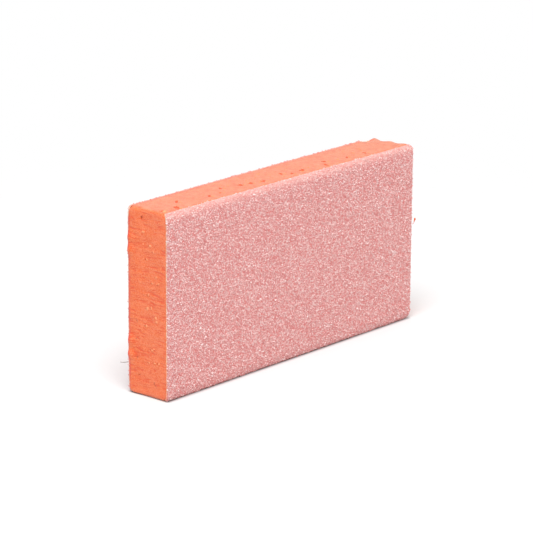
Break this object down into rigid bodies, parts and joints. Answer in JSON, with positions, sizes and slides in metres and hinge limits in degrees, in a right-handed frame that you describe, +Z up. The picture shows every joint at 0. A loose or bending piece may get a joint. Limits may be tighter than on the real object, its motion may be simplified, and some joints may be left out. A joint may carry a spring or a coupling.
{
  "type": "nail buffer block",
  "caption": "Slim rectangular nail buffer block: a foam core with a coated abrasive sheet glued on each broad face, standing on a long edge.",
  "frame": {"origin": "middle of the long edge that the block stands on, at floor level", "axes": "+X along the block from its square-cut end to its rubbed end, +Y through the block from the front sheet to the back sheet, +Z up"},
  "size_m": [0.05, 0.0072, 0.0254],
  "materials": {
    "foam": "matte closed-cell foam, orange, slit on the long edges and sawn on the ends",
    "adhesive": "pale amber pressure-sensitive film",
    "backing_paper": "uncoated cream paper",
    "resin": "rose resin bed, uneven",
    "grit": "pink aluminium oxide grains under a pale size coat"
  },
  "bodies": {
    "root": {"foam_core": "foam", "front_adhesive_film": "adhesive", "front_backing_paper": "backing_paper", "front_make_coat": "resin", "front_grit": "grit", "back_adhesive_film": "adhesive", "back_backing_paper": "backing_paper", "back_make_coat": "resin", "back_grit": "grit"}
  },
  "joints": []
}
